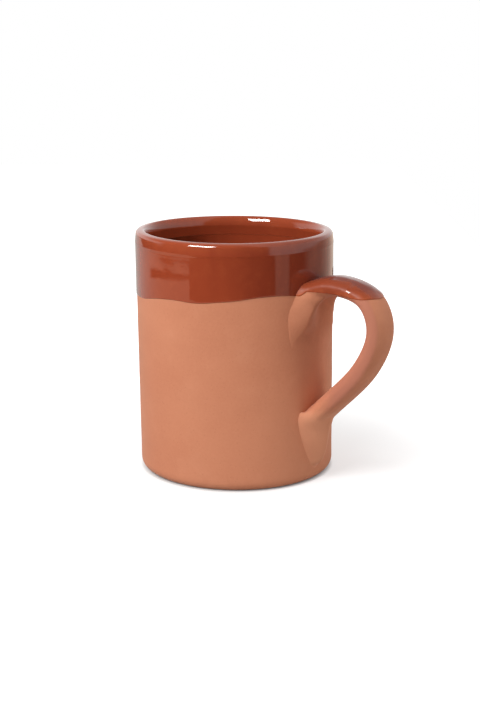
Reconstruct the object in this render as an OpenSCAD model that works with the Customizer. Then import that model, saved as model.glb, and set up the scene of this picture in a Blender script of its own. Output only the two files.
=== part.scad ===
// A hand-thrown clay mug with a pulled handle, fired terracotta with a dipped brown rim.
// Millimetres. The origin is the centre of the foot on the table, +Z is up
// and the handle stands towards +X.

/* [Cup] */
// Height of the clay cup from the table to the top of the lip
cup_height = 100.2; // [90:0.1:125]
// Outer diameter of the clay just above the rounded edge of the foot
cup_diameter = 81; // [74:0.1:90]
// How much wider the clay is across the lip than across the foot
lip_spread = 0.4; // [-3:0.1:6]
// Thickness of the thrown wall
wall = 4; // [3:0.1:6]
// Thickness of the clay floor at its middle
floor_thickness = 5.4; // [4:0.1:9]
// Radius inside where the wall turns into the floor
inner_corner = 7; // [3:0.5:12]
// How far the lip rolls out over the waist below it
lip_roll = 0.4; // [0.2:0.1:1.2]
// Height of the band that rolls out below the lip
lip_roll_height = 6; // [4:0.5:9]

/* [Foot] */
// Radius of the rounded outer edge of the foot
foot_round = 3.7; // [2:0.1:5]
// Width of the flat ring that the cup stands on
foot_ring = 6; // [4:0.5:10]
// Depth of the shallow dish trimmed under the floor
foot_dish = 0.9; // [0.5:0.1:2]

/* [Handle] */
// How far the middle of the strap stands out from the foot's radius
handle_reach = 29.3; // [24:0.1:36]
// How far the middle of the strap's arch stays below the top of the lip
handle_drop = 18; // [15:0.1:24]
// Height of the middle of the strap where it comes back to the wall
handle_bottom = 25.5; // [22:0.1:32]
// Width of the strap at its narrowest stretch
strap_width = 15.5; // [13:0.1:17]
// Thickness of the strap at its middle stretch
strap_thickness = 8; // [6:0.1:9]

/* [Joints] */
// Thickness of the slip that bonds each end of the strap to the scored wall
slip = 0.4; // [0.3:0.1:0.8]
// Width of the clay wiped out round the top of the handle
upper_pad_width = 31.6; // [28:0.1:36]
// Height of that clay, from its lower tip to above the strap
upper_pad_height = 31.4; // [26:0.1:34]
// How far its two side ridges stand off the wall
upper_pad_ridge = 3.6; // [2:0.1:4.5]
// Width of the clay wiped down from the foot of the handle
lower_pad_width = 22.8; // [21:0.1:28]
// Height of that clay, from the tip of its tail to above the strap
lower_pad_height = 30; // [27:0.1:34]
// How far its middle stands off the wall
lower_pad_crest = 3.6; // [2.5:0.1:5]
// Thickness of the wiped clay along its edges
pad_edge = 0.4; // [0.3:0.1:0.8]

/* [Glaze] */
// Thickness of the fired glaze
glaze = 0.3; // [0.2:0.05:0.6]
// Depth of the dipped band below the top of the lip, at the middle of the cup
dip_depth = 23.9; // [20:0.1:26]
// Tilt of the dip line, in degrees
dip_tilt = 3.5; // [0:0.1:5]
// Direction in which the dip line rises, in degrees from the handle
dip_direction = -9; // [-180:1:180]
// How far the dipped glaze reaches down inside, below the top of the lip
dip_inside = 12; // [9:0.5:18]

/* [Hidden] */
$fn = 96;

TERRACOTTA = "#c8845f";
WIPED_CLAY = "#bd7854";
SLIP_CLAY = "#a8674a";
GLAZE_BROWN = "#7a2f1e";
LINER_BROWN = "#64221a";

// Steps in each round stretch of the cup's outline
round_steps = 6;
// Steps over the whole round top of the lip
lip_steps = 10;
// Rings in each span of the strap, and points round it
span_steps = 5;
ring_points = 24;
// Rows up each pad and columns across it
pad_rows = 16;
pad_columns = 13;
// First of those rows that the dip line can reach
glazed_row = 8;

foot_radius = cup_diameter / 2;
lip_radius = foot_radius + lip_spread / 2;
waist_radius = lip_radius - lip_roll;
lip_z = cup_height - wall / 2;
waist_z = lip_z - lip_roll_height;
floor_z = foot_dish + floor_thickness;
dish_radius = foot_radius - foot_round - foot_ring;
handle_top = cup_height - handle_drop;
dip_height = cup_height - dip_depth;

// One overrun for every cut
overrun = 2;
// How deep the ends of the strap and the backs of the pads start inside the wall
root_depth = wall + slip + overrun;

// Middle line of the strap: shares of the reach, and of the height from bottom to top
path_shares = [
    [-0.05, 0.95], [0.4, 1], [0.86, 0.92], [1, 0.7], [0.755, 0.415], [0.195, 0.117], [-0.05, 0]
];
// Width and thickness of the strap at those places
strap_width_shares = [1.16, 1.06, 1.03, 1, 1, 1.03, 1.2];
strap_thickness_shares = [0.98, 0.935, 0.93, 1.02, 1.08, 1.08, 1.07];
// How many spans of the middle line the arch takes, from the top
arch_spans = 3;
// How square the strap's section is, where 2 is an ellipse
strap_squareness = 2.5;

// Half-width of each pad, from its lower tip up, and how far it stands off the wall there
upper_width_shares = [0.35, 0.8, 0.95, 0.99, 1, 0.95, 0.7, 0.38];
upper_rise_shares = [0, 0.28, 0.66, 0.94, 1, 0.96, 0.8, 0.3];
lower_width_shares = [0.4, 0.52, 0.7, 0.86, 0.98, 1, 0.9, 0.55];
lower_rise_shares = [0.12, 0.34, 0.66, 0.94, 1, 0.94, 0.72, 0.3];
// Where across its half-width the pad's ridge runs, and how high the pad is at its middle
upper_ridge_shares = [0.9, 0.9, 0.86, 0.66, 0.48, 0.34, 0.3, 0.3];
upper_middle_share = 0.4;
lower_ridge_share = 0.3;
lower_middle_share = 0.95;
// How far each pad goes on above the middle of the strap, as a share of the strap's thickness
upper_lap_share = 0.02;
lower_lap_share = 1.3;

// Shapes in the plane of the cup's outline

function arc(centre, radius, from, to, steps) = [
    for (i = [0:steps])
        let (a = from + (to - from) * i / steps)
        centre + radius * [cos(a), sin(a)]
];

function reversed(points) = [for (i = [len(points) - 1:-1:0]) points[i]];

function after_first(points) = [for (i = [1:len(points) - 1]) points[i]];

// The waist's roll outwards below the lip, as radius and height
function roll(side) = [
    for (i = [0:round_steps - 1])
        let (share = i / round_steps)
        [waist_radius + side + lip_roll * (1 - cos(180 * share)) / 2, waist_z + lip_roll_height * share]
];

// Outline from the foot up to the middle of the lip, grown outwards
function outside_line(grow) = concat(
    arc([foot_radius - foot_round, foot_round], foot_round + grow, -90, 0, round_steps),
    roll(grow),
    arc([lip_radius - wall / 2, lip_z], wall / 2 + grow, 0, 90, lip_steps / 2)
);

// Outline from the middle of the lip down to the middle of the floor, grown inwards
function inside_line(grow) = concat(
    arc([lip_radius - wall / 2, lip_z], wall / 2 + grow, 90, 180, lip_steps / 2),
    reversed(roll(-wall - grow)),
    arc(
        [foot_radius - wall - inner_corner, floor_z + inner_corner],
        inner_corner - grow, 0, -90, round_steps
    ),
    [[0, floor_z + grow]]
);

// The dish under the floor, from its middle out to the flat ring
function dish_line() = [
    for (i = [0:round_steps])
        let (share = i / round_steps)
        [dish_radius * share, foot_dish * (1 - share * share)]
];

// The whole outside of the cup as one filled form
module cup_form(grow = 0) {
    rotate_extrude()
        polygon(concat([[0, -grow]], outside_line(grow), [[0, cup_height + grow]]));
}

// Radius of the straight stretch of the wall at a height
function wall_radius(z) =
    foot_radius + (waist_radius - foot_radius) * (z - foot_round) / (waist_z - foot_round);

// Smooth curves through a table

function entry(table, i) =
    i < 0 ? 2 * table[0] - table[1]
    : i >= len(table) ? 2 * table[len(table) - 1] - table[len(table) - 2]
    : table[i];

function through(table, place) =
    let (
        i = min(floor(place), len(table) - 2),
        t = place - i,
        a = entry(table, i - 1), b = table[i], c = table[i + 1], d = entry(table, i + 2)
    )
    (2 * b + (c - a) * t + (2 * a - 5 * b + 4 * c - d) * t * t + (3 * b - a - 3 * c + d) * t * t * t) / 2;

function over(table, share) = through(table, share * (len(table) - 1));

// Closed rings joined into one solid, with each end ring closed by a ladder of triangles

module skin(rings) {
    n = len(rings[0]);
    last = (len(rings) - 1) * n;
    sides = [
        for (r = [0:n:last - n], i = [0:n - 1])
            let (j = (i + 1) % n)
            each [[r + i, r + j, r + n + j], [r + i, r + n + j, r + n + i]]
    ];
    ends = [
        for (i = [0:n / 2 - 2])
            let (j = i + 1, k = n - 1 - j, l = n - 1 - i)
            each [
                [i, k, j], [i, l, k],
                [last + i, last + j, last + k], [last + i, last + k, last + l]
            ]
    ];
    polyhedron(points = [for (ring = rings) each ring], faces = concat(sides, ends));
}

// The strap

function path_point(place) =
    let (shares = through(path_shares, place))
    [foot_radius + handle_reach * shares[0], handle_bottom + (handle_top - handle_bottom) * shares[1]];

function path_heading(place) =
    let (
        spans = len(path_shares) - 1,
        near = 0.01,
        step = path_point(min(place + near, spans)) - path_point(max(place - near, 0))
    )
    step / norm(step);

function signed_power(value, power) = sign(value) * pow(abs(value), power);

// One ring of the strap, moved on along its heading by ahead
function strap_ring(place, ahead, grow) =
    let (
        centre = path_point(place) + ahead * path_heading(place),
        heading = path_heading(place),
        half_width = strap_width * through(strap_width_shares, place) / 2 + grow,
        half_thickness = strap_thickness * through(strap_thickness_shares, place) / 2 + grow
    )
    [
        for (i = [0:ring_points - 1])
            let (
                a = -360 * (i + 0.5) / ring_points,
                across = half_width * signed_power(cos(a), 2 / strap_squareness),
                out = half_thickness * signed_power(sin(a), 2 / strap_squareness)
            )
            [centre[0] - heading[1] * out, across, centre[1] + heading[0] * out]
    ];

module strap_form() {
    spans = len(path_shares) - 1;
    skin(concat(
        [strap_ring(0, -root_depth, 0)],
        [for (i = [0:spans * span_steps]) strap_ring(i / span_steps, 0, 0)],
        [strap_ring(spans, root_depth, 0)]
    ));
}

// The strap's first spans from its upper root, which the dip line crosses
module arch_form(grow = 0) {
    skin(concat(
        [strap_ring(0, -root_depth, grow)],
        [for (i = [0:arch_spans * span_steps]) strap_ring(i / span_steps, 0, grow)]
    ));
}

// The pads of clay wiped over each joint

function wall_point(z, along, off) =
    let (radius = wall_radius(z), a = along / radius * 180 / PI)
    [(radius + off) * cos(a), (radius + off) * sin(a), z];

// Share of the pad's height across its half-width, from its middle over the ridge to its edge
function across(side, ridge, middle) =
    side < ridge ? middle + (1 - middle) * pow(side / ridge, 2) : (1 - side) / (1 - ridge);

// One level ring of a pad: its outer face across the wall, and its back inside the wall
function pad_ring(z, half_width, rise, ridge, middle, grow) =
    let (
        columns = [for (i = [0:pad_columns]) 1 - 2 * i / pad_columns],
        face = [
            for (side = columns)
                let (off = pad_edge + grow + rise * across(abs(side), ridge, middle))
                wall_point(z, side * (half_width + grow), off)
        ],
        back = [for (side = reversed(columns)) wall_point(z, side * (half_width + grow), -wall / 2)]
    )
    concat(face, back);

module upper_pad_form(grow = 0, first_row = 0) {
    bottom = handle_top + upper_lap_share * strap_thickness - upper_pad_height;
    skin([
        for (row = [first_row:pad_rows])
            let (
                share = row / pad_rows,
                z = bottom - grow + (upper_pad_height + 2 * grow) * share,
                half_width = upper_pad_width / 2 * over(upper_width_shares, share),
                rise = (upper_pad_ridge - pad_edge) * over(upper_rise_shares, share)
            )
            pad_ring(z, half_width, rise, over(upper_ridge_shares, share), upper_middle_share, grow)
    ]);
}

module lower_pad_form() {
    bottom = handle_bottom + lower_lap_share * strap_thickness - lower_pad_height;
    skin([
        for (row = [0:pad_rows])
            let (
                share = row / pad_rows,
                half_width = lower_pad_width / 2 * over(lower_width_shares, share),
                rise = (lower_pad_crest - pad_edge) * over(lower_rise_shares, share)
            )
            pad_ring(
                bottom + lower_pad_height * share, half_width, rise,
                lower_ridge_share, lower_middle_share, 0
            )
    ]);
}

// Everything above the dip line
module dipped_space() {
    reach = foot_radius + handle_reach + strap_width;
    translate([0, 0, dip_height])
        rotate([0, -dip_tilt, dip_direction])
        cylinder(h = cup_height, r = 2 * reach);
}

// The handle's side of the cup between two heights
module joint_space(from, to) {
    reach = foot_radius + handle_reach;
    translate([0, -strap_width, from])
        cube([reach, 2 * strap_width, to - from]);
}

// The clay

module cup_body() {
    color(TERRACOTTA)
        rotate_extrude()
        polygon(concat(dish_line(), outside_line(0), after_first(inside_line(0))));
}

module handle_strap() {
    color(TERRACOTTA)
        difference() {
            strap_form();
            cup_form(slip);
        }
}

module slip_film(from, to) {
    color(SLIP_CLAY)
        intersection() {
            difference() {
                strap_form();
                cup_form();
            }
            cup_form(slip);
            joint_space(from, to);
        }
}

module upper_slip() {
    slip_film((handle_top + handle_bottom) / 2, cup_height);
}

module lower_slip() {
    slip_film(0, (handle_top + handle_bottom) / 2);
}

module upper_joint_clay() {
    color(WIPED_CLAY)
        difference() {
            upper_pad_form();
            cup_form();
            strap_form();
        }
}

module lower_joint_clay() {
    color(WIPED_CLAY)
        difference() {
            lower_pad_form();
            cup_form();
            strap_form();
        }
}

// The skins of glaze on the clay's outside and inside
module outside_glaze() {
    rotate_extrude()
        polygon(concat(outside_line(glaze), reversed(outside_line(0))));
}

module inside_glaze() {
    rotate_extrude()
        polygon(concat(inside_line(glaze), reversed(inside_line(0))));
}

// The inside up to where the dipped glaze takes over from the liner
module lined_space() {
    cylinder(h = cup_height - dip_inside, r = foot_radius);
}

module liner_glaze() {
    color(LINER_BROWN)
        intersection() {
            inside_glaze();
            lined_space();
        }
}

module rim_glaze() {
    color(GLAZE_BROWN) {
        difference() {
            inside_glaze();
            lined_space();
        }
        difference() {
            intersection() {
                outside_glaze();
                dipped_space();
            }
            arch_form(glaze);
            upper_pad_form(glaze, glazed_row);
        }
    }
}

module handle_glaze() {
    color(GLAZE_BROWN)
        difference() {
            intersection() {
                union() {
                    arch_form(glaze);
                    upper_pad_form(glaze, glazed_row);
                }
                dipped_space();
            }
            arch_form();
            upper_pad_form(0, glazed_row);
            cup_form();
        }
}

cup_body();
handle_strap();
upper_slip();
lower_slip();
upper_joint_clay();
lower_joint_clay();
liner_glaze();
rim_glaze();
handle_glaze();
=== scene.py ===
"""A hand-thrown clay mug with a pulled handle and a dipped brown rim, modelled over its CAD frame."""

import math

import bpy
import numpy as np
from bpy.props import FloatProperty, FloatVectorProperty, PointerProperty
from bpy.types import Operator, Panel, PropertyGroup
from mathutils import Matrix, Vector


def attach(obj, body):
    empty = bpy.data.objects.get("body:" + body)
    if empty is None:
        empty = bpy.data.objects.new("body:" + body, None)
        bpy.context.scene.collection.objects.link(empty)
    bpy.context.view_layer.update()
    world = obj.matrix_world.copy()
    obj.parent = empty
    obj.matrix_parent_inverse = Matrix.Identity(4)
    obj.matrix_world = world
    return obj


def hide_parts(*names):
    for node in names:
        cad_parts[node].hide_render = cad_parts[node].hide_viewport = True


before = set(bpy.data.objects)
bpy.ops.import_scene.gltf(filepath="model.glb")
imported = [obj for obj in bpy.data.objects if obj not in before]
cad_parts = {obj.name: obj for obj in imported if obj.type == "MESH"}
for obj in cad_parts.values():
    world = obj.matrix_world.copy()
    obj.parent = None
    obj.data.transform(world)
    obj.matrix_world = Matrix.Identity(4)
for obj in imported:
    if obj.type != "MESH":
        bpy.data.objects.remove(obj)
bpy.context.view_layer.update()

bl_info = {
    "name": "Clay Mug",
    "version": (1, 0, 0),
    "blender": (4, 5, 0),
    "location": "View3D > Sidebar > Clay Mug",
    "description": "Models a thrown clay mug with a pulled handle and a dipped rim",
    "category": "Add Mesh",
}

MM = 0.001
# The handle points 54 degrees to the right of the lens, so the lens's own right is at 36
HORIZON = math.radians(36)
LENS_TURN = math.radians(54)
LENS_RIGHT = (math.cos(HORIZON), math.sin(HORIZON))
TURN_STEPS = 256


# Settings


def number(**kind):
    """Makes properties of one kind, each from its name, description and default."""
    return lambda name, description, default: FloatProperty(
        name=name, description=description, default=default, **kind
    )


length = number(unit="LENGTH", precision=5)
slope = number(subtype="ANGLE")
watts = number(unit="POWER", min=0)
strength = number(min=0)
factor = number(subtype="FACTOR", min=0, max=1)


def colour(name, description, red, green, blue):
    """A colour written as 0 to 255 on screen, kept as scene-linear."""
    linear = [((c / 255 + 0.055) / 1.055) ** 2.4 for c in (red, green, blue)]
    return FloatVectorProperty(
        name=name, description=description, default=linear, subtype="COLOR", size=3, min=0, max=1
    )


class MugCupSettings(PropertyGroup):
    height: length("Height", "From the table to the top of the clay lip", 0.1002)
    foot_radius: length("Foot radius", "Outer radius just above the rounded foot", 0.0405)
    lip_radius: length("Lip radius", "Outer radius of the clay at the lip", 0.0407)
    wall: length("Wall", "Thickness of the thrown wall", 0.004)
    floor_thickness: length("Floor thickness", "Clay under the middle of the cup", 0.0054)
    inner_corner: length("Inner corner", "Radius where the wall turns into the floor", 0.007)
    lip_width: length("Lip width", "From the lip's crest out to its side", 0.0028)
    lip_face: length("Lip face", "Height of the lip's leaning outer face", 0.00315)
    lip_lean: slope("Lip lean", "How far the lip's outer face leans in", math.radians(5.6))
    lip_shoulder: length("Lip shoulder", "Radius between the lip's face and its top", 0.00135)
    lip_nose: length("Lip nose", "How far the lip rounds over into the inside", 0.0019)
    lip_nose_height: length("Lip nose height", "Depth that this rounding takes", 0.0046)
    lip_roll: length("Lip roll", "How far the lip rolls out over the waist", 0.00006)
    lip_roll_height: length("Lip roll height", "Height of the rolled step", 0.0012)
    foot_round: length("Foot rounding", "Radius of the outer edge of the foot", 0.0037)
    foot_ring: length("Foot ring", "Width of the flat ring under the cup", 0.006)
    foot_dish: length("Foot dish", "Depth of the dish trimmed under the floor", 0.0009)
    throwing_ring: length("Throwing rings", "Depth of the faint rings in the wall", 0.00003)


class MugHandleSettings(PropertyGroup):
    reach: length("Reach", "How far the strap's middle stands off the foot radius", 0.0293)
    top: length("Top", "Highest point of the strap's middle line", 0.0822)
    bottom: length("Bottom", "Where the strap's middle line comes back to the wall", 0.0255)
    strap_width: length("Strap width", "Width of the strap at its narrowest", 0.0155)
    strap_thickness: length("Strap thickness", "Thickness of the strap", 0.008)
    upper_ridge: length("Upper ridges", "Height of the wiped ridges under the arch", 0.0037)
    lower_crest: length("Lower crest", "Height of the wiped tail under the strap", 0.0036)
    fillet: length("Fillet", "How softly the strap runs into the wiped clay", 0.0018)


class MugGlazeSettings(PropertyGroup):
    thickness: length("Thickness", "Thickness of the fired glaze", 0.0003)
    dip_height: length("Dip height", "Height of the dip line at the cup's axis", 0.07634)
    dip_tilt: slope("Dip tilt", "Tilt of the dip line", math.radians(3.47))
    dip_direction: slope("Dip direction", "Where the dip line rises, from the handle", math.radians(-9))
    dip_inside: length("Dip inside", "How far the dipped glaze reaches down inside", 0.0075)


class MugFinishSettings(PropertyGroup):
    clay: colour("Clay", "Fired terracotta", 205, 133, 99)
    clay_dark: colour("Darker clay", "Terracotta where it is dense and wiped", 188, 114, 82)
    # Pale dusty clay, also used as painted light on the wiped tail
    clay_pale_and_painted_light: colour("Paler clay", "Dry, dusty terracotta", 216, 150, 116)
    slip: colour("Slip", "Slip that bonds the handle", 176, 108, 78)
    # Painted shade: this colour darkens the strap's flanks away from the wall, standing in for the
    # shade on them
    strap_shade: colour("Strap edge", "Dense clay along the strap's narrow edges", 186, 117, 93)
    glaze: colour("Glaze", "Brown glaze at its usual thickness", 152, 64, 38)
    # Thin glaze, also used as a painted soft highlight on the arch's flanks
    glaze_thin_and_highlight: colour("Thin glaze", "Glaze where it runs thin", 186, 92, 54)
    # Pooled glaze at random, and also the painted shade of the glaze on the handle's side and inside
    glaze_deep_and_shade: colour("Deep glaze", "Glaze where it pools", 96, 33, 22)
    clay_roughness: factor("Clay roughness", "Roughness of the bare clay", 0.86)
    glaze_roughness: factor("Glaze roughness", "Roughness of the glaze", 0.02)


class MugStageSettings(PropertyGroup):
    table_front: length("Table front", "The table's front edge from the axis", 0.24)
    table_left: length("Table left", "The table's left edge from the axis", 0.9)
    table_right: length("Table right", "The table's right edge from the axis", 0.2)
    key_power: watts("Key light", "Power of the soft light from the front left", 8.6)
    side_power: watts("Side light", "Power of the soft light on the handle", 2.0)
    rim_power: watts("Rim light", "Power of the light from behind on the right", 2.0)
    glint_power: watts("Glint", "Power of the window that the glaze mirrors", 14)
    room: strength("Room", "Strength of the light from the pale room", 0.5)


def settings(name):
    return getattr(bpy.context.scene, "clay_mug_" + name)


# Tools for every piece


def deselect():
    if bpy.context.object and bpy.context.object.mode != "OBJECT":
        bpy.ops.object.mode_set(mode="OBJECT")
    bpy.ops.object.select_all(action="DESELECT")


def pick(*pieces):
    """Selects only these objects, the first one active."""
    deselect()
    for piece in pieces:
        piece.select_set(True)
    bpy.context.view_layer.objects.active = pieces[0]


def edit(piece):
    """Opens a piece in edit mode with all of it selected."""
    pick(piece)
    bpy.ops.object.mode_set(mode="EDIT")
    bpy.ops.mesh.select_mode(type="VERT")
    bpy.ops.mesh.select_all(action="SELECT")


def close():
    bpy.ops.object.mode_set(mode="OBJECT")


def read(part, key):
    flat = np.empty(len(part) * 3, dtype=np.float32)
    part.foreach_get(key, flat)
    return flat.reshape(-1, 3).astype(np.float64)


def points(piece):
    return read(piece.data.vertices, "co")


def place(piece, where):
    piece.data.vertices.foreach_set("co", where.astype(np.float32).ravel())
    piece.data.update()


def select(piece, kind, chosen):
    """Selects vertices or polygons by a list of yes and no, in object mode."""
    for part in (piece.data.vertices, piece.data.edges, piece.data.polygons):
        part.foreach_set("select", np.zeros(len(part), dtype=bool))
    getattr(piece.data, kind).foreach_set("select", chosen)


def face_out(piece):
    """Turns a piece's faces outwards, or makes those of an open one agree."""
    edit(piece)
    bpy.ops.mesh.normals_make_consistent()
    close()


def apply_modifier(piece, kind, **values):
    """Adds one modifier to a piece and applies it."""
    pick(piece)
    bpy.ops.object.modifier_add(type=kind)
    modifier = piece.modifiers[-1]
    for key, value in values.items():
        setattr(modifier, key, value)
    bpy.ops.object.modifier_apply(modifier=modifier.name)


def named(name):
    """Names the object that the last operator made, and its data."""
    made = bpy.context.object
    made.name = made.data.name = name
    return made


def copy_of(piece, name):
    pick(piece)
    bpy.ops.object.duplicate()
    return named(name)


def polar(where):
    """Radius and angle about the cup's axis, and height."""
    x, y, z = where.T
    return np.hypot(x, y), np.arctan2(y, x), z


def at_polar(radius, around, z):
    return np.stack([radius * np.cos(around), radius * np.sin(around), z], axis=1)


def ease(value, low, high):
    """0 below low, 1 above high, and smooth between."""
    share = np.clip((value - low) / (high - low), 0, 1)
    return share * share * (3 - 2 * share)


def curve(table, at):
    """A smooth curve through (place, value) pairs, held flat past its ends."""
    spots, values = np.array(table, dtype=float).T
    at = np.clip(at, spots[0], spots[-1])
    i = np.clip(np.searchsorted(spots, at, side="right") - 1, 0, len(spots) - 2)
    slopes = np.gradient(values, spots)
    width = spots[i + 1] - spots[i]
    t = (at - spots[i]) / width
    return (
        values[i] * (1 + 2 * t) * (1 - t) ** 2
        + values[i + 1] * t * t * (3 - 2 * t)
        + width * (slopes[i] * t * (1 - t) ** 2 - slopes[i + 1] * t * t * (1 - t))
    )


# How far the cup leans over its height, and where the lip's own wobble starts
LEAN = -1.26 * MM
LIP_START = 0.0945


def settle(where):
    """The small lean and unevenness that the soft clay took, the same for every piece."""
    radius, around, z = polar(where)
    share = np.clip(z / 0.1, 0, 1)
    lean = LEAN * (share - 0.5)
    out = np.clip(radius / 0.04, 0, 1)
    wobble = 0.14 * np.sin(2 * around + 0.6 + 1.3 * share) * share
    wobble += 0.1 * np.sin(3 * around + 2.1 - 2.2 * share)
    wobble += 0.09 * np.sin(4 * around + 0.9) * ease(z, 0.07, 0.1)
    step = 0.05 * np.sin(3 * around - 0.4) + 0.04 * np.sin(7 * around + 1)
    wobble += step * ease(z, LIP_START, LIP_START + 0.0017) * ease(radius, 0.0385, 0.0405)
    up = 0.12 * MM * np.sin(2 * around + 0.4) * ease(z, 0.08, 0.1)
    moved = at_polar(radius + wobble * MM * out, around, z + up)
    moved[:, :2] += lean[:, None] * LENS_RIGHT
    return moved


def finish_piece(piece, material, slot, *nodes):
    """Settles a finished piece, smooths its shading and puts it on the frame."""
    place(piece, settle(points(piece)))
    pick(piece)
    bpy.ops.object.shade_smooth_by_angle(angle=math.radians(50))
    piece.data.materials.clear()
    piece.data.materials.append(material)
    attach(piece, "root")
    if nodes:
        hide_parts(*nodes)


def turn(name, outline, closed):
    """Spins an outline of radius and height about the cup's axis."""
    deselect()
    start = outline[0]
    bpy.ops.mesh.primitive_plane_add(size=MM, location=(0, 0, 0))
    piece = named(name)
    edit(piece)
    bpy.ops.mesh.merge(type="CENTER")
    bpy.ops.transform.translate(value=(start[0], 0, start[1]))
    for here, there in zip(outline, outline[1:]):
        step = (there[0] - here[0], 0, there[1] - here[1])
        bpy.ops.mesh.extrude_region_move(TRANSFORM_OT_translate={"value": step})
    if closed:
        close()
        ends = np.zeros(len(piece.data.vertices), dtype=bool)
        ends[0] = ends[-1] = True
        select(piece, "vertices", ends)
        bpy.ops.object.mode_set(mode="EDIT")
        bpy.ops.mesh.edge_face_add()
    bpy.ops.mesh.select_all(action="SELECT")
    bpy.ops.mesh.spin(
        steps=TURN_STEPS, angle=2 * math.pi, center=(0, 0, 0), axis=(0, 0, 1), dupli=False
    )
    bpy.ops.mesh.select_all(action="SELECT")
    bpy.ops.mesh.remove_doubles(threshold=0.002 * MM)
    bpy.ops.mesh.normals_make_consistent()
    close()
    return piece


# The cup's outline

# Degrees that the lip's shoulder and its nose turn through, and how deep the inside flares
SHOULDER_TURN = 76
NOSE_TURN = 78
FLARE_DEPTH = 9 * MM
ROLL_ROWS, FACE_ROWS, CREST_ROWS, NOSE_ROWS, CORNER_ROWS = 8, 12, 8, 14, 14


def arc(centre, radius, start, stop, steps):
    turns = [math.radians(start + (stop - start) * i / steps) for i in range(steps + 1)]
    return [(centre[0] + radius * math.cos(a), centre[1] + radius * math.sin(a)) for a in turns]


def wall_radius(z):
    """Outer radius of the clay wall at a height, straight from the foot to the waist."""
    cup = settings("cup")
    waist = cup.lip_radius - cup.lip_roll
    low, high = cup.foot_round, waist_height()
    return cup.foot_radius + (waist - cup.foot_radius) * (z - low) / (high - low)


def waist_height():
    cup = settings("cup")
    return cup.height - cup.lip_shoulder - cup.lip_face - cup.lip_roll_height


def outside_outline(grow, low, rows):
    """The wall from a height up over the shoulder to the crest of the lip, grown outwards."""
    cup = settings("cup")
    waist = waist_height()
    line = []
    for i in range(rows):
        z = low + (waist - low) * i / rows
        ring = cup.throwing_ring * math.sin(z / 0.0023) * math.sin(z / 0.0101 + 1)
        line.append((wall_radius(z) + grow + ring, z))
    for i in range(ROLL_ROWS):
        share = i / ROLL_ROWS
        out = cup.lip_roll * (1 - math.cos(math.pi * share)) / 2
        line.append((wall_radius(waist) + out + grow, waist + cup.lip_roll_height * share))
    low_face = waist + cup.lip_roll_height
    lean = math.tan(cup.lip_lean)
    for i in range(FACE_ROWS):
        share = i / FACE_ROWS
        back = cup.lip_face * lean * (share + 0.2 * share * share)
        line.append((cup.lip_radius - back + grow, low_face + cup.lip_face * share))
    start = math.degrees(cup.lip_lean) * 1.4
    middle = (
        cup.lip_radius - 1.2 * cup.lip_face * lean - cup.lip_shoulder * math.cos(math.radians(start)),
        low_face + cup.lip_face - cup.lip_shoulder * math.sin(math.radians(start)),
    )
    line += arc(middle, cup.lip_shoulder + grow, start, SHOULDER_TURN, FACE_ROWS)
    crest = (cup.lip_radius - cup.lip_width, cup.height + grow)
    edge = line[-1]
    for i in range(1, CREST_ROWS + 1):
        share = i / CREST_ROWS
        line.append((
            edge[0] + (crest[0] - edge[0]) * share,
            edge[1] + (crest[1] - edge[1]) * (1 - (1 - share) ** 1.6),
        ))
    return line


def corner_height():
    """Where the inside wall ends and the corner to the floor starts."""
    cup = settings("cup")
    return cup.foot_dish + cup.floor_thickness + cup.inner_corner


def inside_outline(grow, low, rows):
    """From the crest of the lip down the flared inside to a height, grown inwards."""
    cup = settings("cup")
    crest = cup.lip_radius - cup.lip_width
    line = []
    for i in range(NOSE_ROWS + 1):
        turned = math.radians(NOSE_TURN * i / NOSE_ROWS)
        edge = crest - cup.lip_nose * math.sin(turned)
        top = cup.height - cup.lip_nose_height * (1 - math.cos(turned))
        lean = math.atan2(cup.lip_nose * math.cos(turned), cup.lip_nose_height * math.sin(turned))
        line.append((edge - grow * math.cos(lean), top + grow * math.sin(lean)))
    for i in range(1, rows + 1):
        z = top + (low - top) * (i / rows) ** 1.6
        wall = wall_radius(z) - cup.wall
        radius = wall + (edge - wall) * (1 - min((top - z) / FLARE_DEPTH, 1)) ** 2
        ring = cup.throwing_ring * math.sin(z / 0.0047 + 2) * ease(top - z, 0.006, 0.02)
        line.append((radius - grow + ring * (1 - i / rows), z))
    return line


def floor_outline(grow):
    """From the foot of the inside wall round the corner to the middle of the floor."""
    cup = settings("cup")
    floor_z = cup.foot_dish + cup.floor_thickness
    centre = (cup.foot_radius - cup.wall - cup.inner_corner, corner_height())
    line = arc(centre, cup.inner_corner - grow, 0, -90, CORNER_ROWS)
    for i in range(1, CORNER_ROWS + 1):
        out = 1 - i / (CORNER_ROWS + 1)
        radius = centre[0] * out
        line.append((radius, floor_z + grow + 0.1 * MM * math.sin(radius / 0.0026) * out))
    return line + [(0, floor_z + grow)]


# The dip line


def dip_wave(around):
    """How far the dip line wanders above its plane, round the cup."""
    wave = 0.3 * np.sin(2 * around + math.radians(150))
    wave += 0.6 * np.sin(6 * around - math.radians(47))
    wave += 0.12 * np.sin(11 * around + 1) + 0.07 * np.sin(17 * around + 2)
    return wave * MM


def dip_plane(x, y):
    glaze = settings("glaze")
    along = x * math.cos(glaze.dip_direction) + y * math.sin(glaze.dip_direction)
    return glaze.dip_height + math.tan(glaze.dip_tilt) * along


def dip_line(where):
    """Height of the dipped glaze's edge over each spot, on the wall and along the handle."""
    x, y, _ = where.T
    radius, around, _ = polar(where)
    on_handle = ease(radius, 0.0415, 0.044)
    along = 1.5 - 0.115 * np.clip(x / MM - 46, 0, 40) + 0.12 * np.sin(y / 0.0021 + x / 0.003)
    wave = dip_wave(around) * (1 - on_handle) + along * MM * on_handle
    return dip_plane(x, y) + wave


# The handle's middle line

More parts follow.
